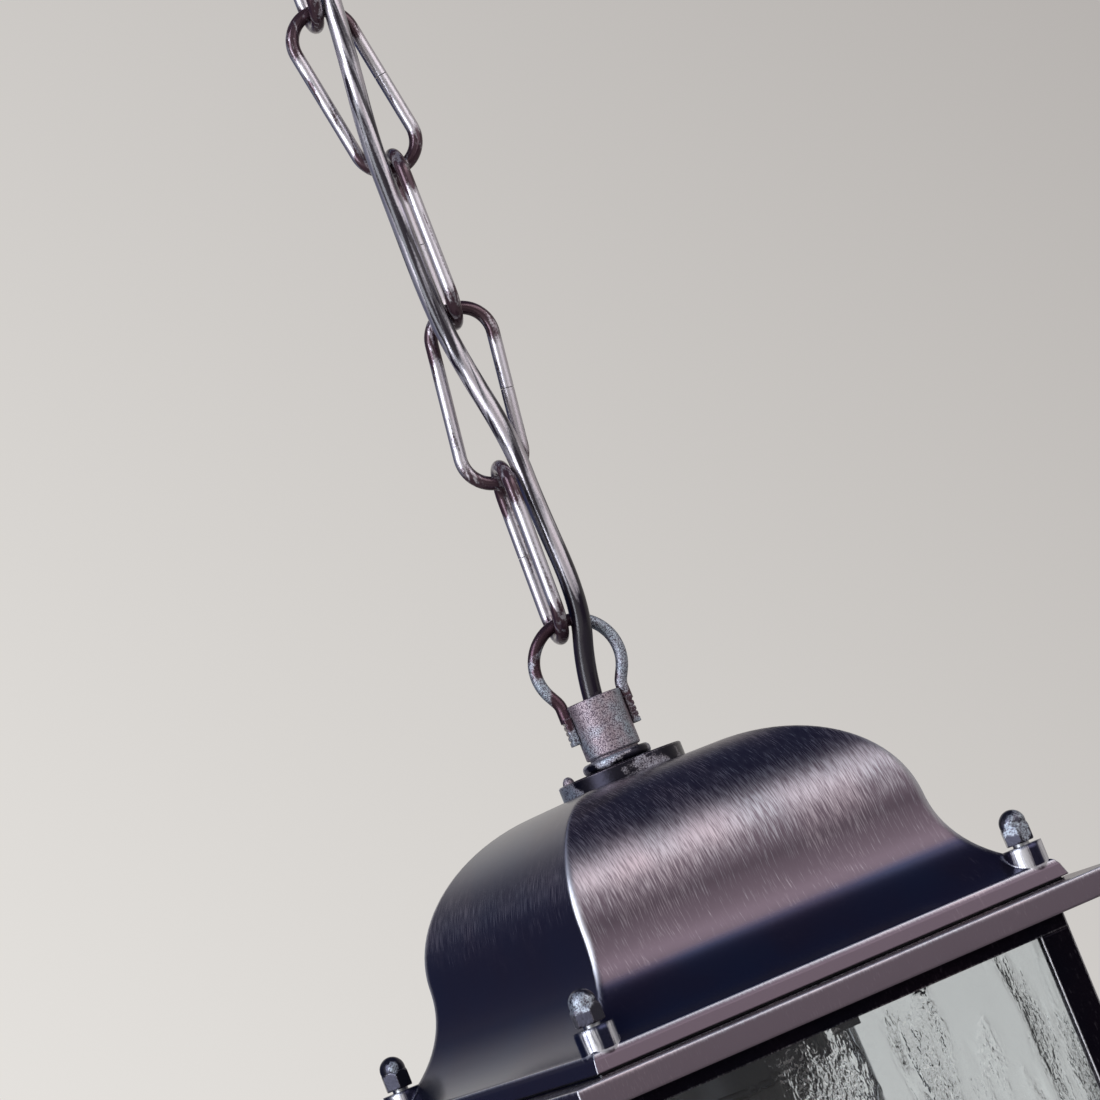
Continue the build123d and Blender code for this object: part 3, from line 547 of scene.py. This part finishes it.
seal_finish = even_finish("moulded_rubber_black", ("#18181a", "#202023"), 0.0, 0.58, 0.5, 0.04)
core_finish = even_finish("pvc_core_brown", ("#5e3a22", "#6a4429"), 0.0, 0.36, 0.8, 0.02)
floor_finish = even_finish("painted_floor", ("#d5d2ce", "#d1ceca"), 0.0, 0.7, 3.0, 0.02)

FINISHES = {
    "ceiling_rose": rose_finish,
    "roof": roof_finish,
    "roof_seal": seal_finish,
    "lamp_cover": cover_finish,
    "pane_clips": cover_finish,
    "holder_body": holder_finish,
    "holder_ring": holder_finish,
    "holder_insert": porcelain_finish,
    "socket_shell": brass_finish,
    "socket_contact": brass_finish,
    "terminal_block": block_finish,
    "cable_cores": core_finish,
}
GROUPS = (
    (frame_finish, ("cornice", "post_")),
    (base_finish, ("base_",)),
    (collar_finish, ("ceiling_collar", "lantern_collar", "plate_screw")),
    (loop_finish, ("ceiling_loop", "lantern_loop")),
    (patched_finish, ("ceiling_ring", "lantern_ring", "roof_plate")),
    (nut_finish, ("corner_cap", "rose_nuts")),
    (chain_finish, ("chain_link",)),
    (sheath_finish, ("cable_top", "cable_lower", "cable_stretch")),
    (glass_finish, ("glass_",)),
)


def finish_of(node):
    if node in FINISHES:
        return FINISHES[node]
    for finish, starts in GROUPS:
        if node.startswith(starts):
            return finish
    return zinc_finish


# The solids get their finishes, smooth curves and slightly rounded edges
ROUNDED = ("roof", "roof_plate", "cornice", "base_frame", "base_tray", "corner_cap_nuts")
ROUND_MM = 0.4
for node_name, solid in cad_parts.items():
    solid.data.materials.clear()
    solid.data.materials.append(finish_of(node_name))
    solid.data.shade_smooth()
    solid.data.set_sharp_from_angle(angle=math.radians(32))
    if node_name in ROUNDED or node_name.startswith("post_"):
        soft_edge = solid.modifiers.new("rounded_edges", "BEVEL")
        soft_edge.width = ROUND_MM * MM
        soft_edge.segments = 3
        soft_edge.limit_method = "ANGLE"
        soft_edge.angle_limit = math.radians(35)
        soft_edge.harden_normals = True


# Cable
def chain_plane(x, y, z):
    """A point given along and across the chain, in the object's own axes."""
    turn = Matrix.Rotation(CHAIN_YAW, 3, "Z")
    return (turn @ Vector((x, y, z))) * MM


def cable_route():
    bends = [
        [chain_plane(x, y, z + hinge) for x, y, z in pair]
        for pair, hinge in zip(CABLE_BENDS, HINGE_Z)
    ]
    meets = [(a[1] + b[0]) / 2 for a, b in zip(bends, bends[1:])]
    ends = [chain_plane(0, 0, CABLE_TOP_Z), *meets, chain_plane(0, 0, CABLE_FOOT_Z)]
    return [[ends[n], *bends[n], ends[n + 1]] for n in range(len(bends))]


def spline_points(points):
    """Centre points of the smooth line that has these control points."""
    curve = bpy.data.curves.new("cable_line", "CURVE")
    curve.dimensions = "3D"
    curve.resolution_u = 20
    spline = curve.splines.new("NURBS")
    spline.points.add(len(points) - 1)
    for point, place in zip(spline.points, points):
        point.co = (*place, 1.0)
    spline.order_u = 3
    spline.use_endpoint_u = True
    holder = bpy.data.objects.new("cable_line", curve)
    line = bpy.data.meshes.new_from_object(holder)
    centres = [v.co.copy() for v in line.vertices]
    bpy.data.objects.remove(holder)
    bpy.data.curves.remove(curve)
    bpy.data.meshes.remove(line)
    return centres


def tube_mesh(name, centres, radius, sides=28):
    """A closed round tube about a line of centre points."""
    shape = bmesh.new()
    rings = []
    for n, centre in enumerate(centres):
        ahead = centres[min(n + 1, len(centres) - 1)] - centres[max(n - 1, 0)]
        ahead.normalize()
        side = Vector((1, 0, 0)).cross(ahead).normalized()
        other = ahead.cross(side)
        rings.append(
            [
                shape.verts.new(centre + radius * (math.cos(a) * side + math.sin(a) * other))
                for a in (2 * math.pi * k / sides for k in range(sides))
            ]
        )
    for ring, following in zip(rings, rings[1:]):
        for k in range(sides):
            m = (k + 1) % sides
            shape.faces.new((ring[k], ring[m], following[m], following[k]))
    shape.faces.new(rings[0])
    shape.faces.new(rings[-1])
    bmesh.ops.recalc_face_normals(shape, faces=shape.faces)
    mesh = bpy.data.meshes.new(name)
    shape.to_mesh(mesh)
    shape.free()
    mesh.shade_smooth()
    mesh.set_sharp_from_angle(angle=math.radians(60))
    piece = bpy.data.objects.new(name, mesh)
    bpy.context.scene.collection.objects.link(piece)
    return piece


for n, route in enumerate(cable_route()):
    centres = spline_points(route)
    piece = tube_mesh(f"sheathed_cable_{n + 1}", centres, CABLE_D / 2)
    piece.data.materials.append(sheath_finish)
    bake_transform(piece)
    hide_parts(f"cable_stretch_{n + 1}")


# Studio
def camera_matrix():
    """The photograph's camera: at the front left, tipped up and rolled."""
    azimuth, distance, drop = math.radians(-26.2), 1.248, 0.02971
    yaw, pitch, roll = (math.radians(a) for a in (-0.23, 4.68, -22.07))
    level = Vector((-math.sin(azimuth), math.cos(azimuth), 0))
    place = Vector((math.sin(azimuth), -math.cos(azimuth), 0)) * distance
    place.z = CROWN_Z - drop
    level = Matrix.Rotation(yaw, 3, "Z") @ level
    right = level.cross(Vector((0, 0, 1))).normalized()
    up = right.cross(level)
    ahead = math.cos(pitch) * level + math.sin(pitch) * up
    up = -math.sin(pitch) * level + math.cos(pitch) * up
    rolled_right = math.cos(roll) * right + math.sin(roll) * up
    rolled_up = -math.sin(roll) * right + math.cos(roll) * up
    turn = Matrix((rolled_right, rolled_up, -ahead)).transposed().to_4x4()
    return Matrix.Translation(place) @ turn


scene = bpy.context.scene
lens = bpy.data.cameras.new("camera")
lens.lens = 135.95
lens.sensor_width = 36
lens.clip_start = 0.01
camera = bpy.data.objects.new("camera", lens)
camera.matrix_world = camera_matrix()
scene.collection.objects.link(camera)
scene.camera = camera


def softbox(name, aim, bearing, rise, distance, width, height, glow, code="#ffffff"):
    """A rectangular lamp, placed by its bearing from -Y and its rise, in degrees.

    glow is how bright it looks, where 1 is a white card in plain light.
    """
    turn, lift = math.radians(bearing), math.radians(rise)
    flat = Vector((math.sin(turn), -math.cos(turn), 0)) * math.cos(lift)
    place = Vector(aim) + distance * (flat + Vector((0, 0, math.sin(lift))))
    lamp = bpy.data.lights.new(name, "AREA")
    lamp.shape = "RECTANGLE"
    lamp.size, lamp.size_y = width, height
    lamp.energy = glow * math.pi * width * height
    lamp.color = srgb(code)[:3]
    holder = bpy.data.objects.new(name, lamp)
    holder.location = place
    holder.rotation_euler = (Vector(aim) - place).to_track_quat("-Z", "Y").to_euler()
    scene.collection.objects.link(holder)


ROOF_MIDDLE = (0, 0, CROWN_Z - 30 * MM)
softbox("front_panel", ROOF_MIDDLE, 30, 26, 1.7, 1.5, 1.5, 1.35, "#fffafb")
softbox("front_core", ROOF_MIDDLE, 32, 37, 1.6, 0.9, 0.34, 2.0, "#fffbfa")
softbox("left_strip", ROOF_MIDDLE, -68, 24, 1.7, 0.8, 1.7, 6.5, "#eef3ff")

# Directions from the object: to the sweep's light end, as right and up in the
# picture, and to the cloth and the dim room, in the object's axes
LIGHT_END = Vector((-0.62, -0.78, 0))
CLOTH_BEHIND = Vector((-0.65, 0.75, 0.1))
ROOM_IN_FRONT = Vector((0.44, -0.9, -0.1))
FLOOR_Z = -2.4
FLOOR_RADIUS = 6.0


def studio_world():
    """Grey sweep behind the object, lighter at the lower left of the view.

    Shiny surfaces see the same sweep, with a blue-black cloth overhead and
    behind to the left, and the dim room in front. Everything else gets plain
    grey light.
    """
    world = bpy.data.worlds.new("studio")
    world.use_nodes = True
    tree = world.node_tree
    tree.nodes.clear()
    ray = add(tree, "TexCoord", {}).outputs["Generated"]
    view = camera.matrix_world.to_3x3()
    light_end = (view @ LIGHT_END).normalized()
    along = add(tree, "VectorMath", {"operation": "DOT_PRODUCT", 0: ray, 1: tuple(light_end)})
    along = add(
        tree, "MapRange", {"Value": along.outputs["Value"], "From Min": -0.2, "From Max": 0.2}
    )
    shades = ((0.0, "#b4b0ad"), (1.0, "#e6e3df"))
    sweep = add(tree, "ValToRGB", {"Fac": along, "stops": shades})
    height = add(tree, "SeparateXYZ", {0: ray}).outputs[2]
    overhead = add(
        tree,
        "MapRange",
        {"interpolation_type": "SMOOTHSTEP", "Value": height, "From Min": 0.42, "From Max": 0.76},
    )
    behind = add(
        tree,
        "VectorMath",
        {"operation": "DOT_PRODUCT", 0: ray, 1: tuple(CLOTH_BEHIND.normalized())},
    )
    behind = add(
        tree,
        "MapRange",
        {
            "interpolation_type": "SMOOTHSTEP",
            "Value": behind.outputs["Value"],
            "From Min": 0.56,
            "From Max": 0.93,
        },
    )
    cloth = add(tree, "Math", {"operation": "MAXIMUM", 0: overhead, 1: behind})
    mirrored = add(tree, "Mix", {"data_type": "RGBA", 0: cloth, 6: sweep, 7: srgb("#222e58")})
    in_front = add(
        tree,
        "VectorMath",
        {"operation": "DOT_PRODUCT", 0: ray, 1: tuple(ROOM_IN_FRONT.normalized())},
    )
    in_front = add(
        tree,
        "MapRange",
        {
            "interpolation_type": "SMOOTHSTEP",
            "Value": in_front.outputs["Value"],
            "From Min": 0.8,
            "From Max": 0.95,
        },
    )
    mirrored = add(tree, "Mix", {"data_type": "RGBA", 0: in_front, 6: mirrored, 7: srgb("#3a3440")})
    path = add(tree, "LightPath", {})
    straight = add(
        tree,
        "Math",
        {
            "operation": "MAXIMUM",
            0: path.outputs["Is Camera Ray"],
            1: path.outputs["Is Transmission Ray"],
        },
    )
    shown = add(
        tree,
        "Math",
        {"operation": "MAXIMUM", 0: straight, 1: path.outputs["Is Glossy Ray"]},
    )
    seen = add(tree, "Background", {"Color": sweep, "Strength": 1.0})
    glossy = add(tree, "Background", {"Color": mirrored, "Strength": 1.0})
    light = add(tree, "Background", {"Color": srgb("#e6e8ec"), "Strength": 0.45})
    visible = add(tree, "MixShader", {0: straight, 1: glossy, 2: seen})
    both = add(tree, "MixShader", {0: shown, 1: light, 2: visible})
    add(tree, "OutputWorld", {0: both})
    scene.world = world


studio_world()


def floor():
    mesh = bpy.data.meshes.new("floor")
    shape = bmesh.new()
    bmesh.ops.create_circle(shape, cap_ends=True, segments=96, radius=FLOOR_RADIUS)
    shape.to_mesh(mesh)
    shape.free()
    piece = bpy.data.objects.new("floor", mesh)
    piece.location.z = FLOOR_Z
    mesh.materials.append(floor_finish)
    scene.collection.objects.link(piece)


floor()

scene.view_settings.view_transform = "Standard"
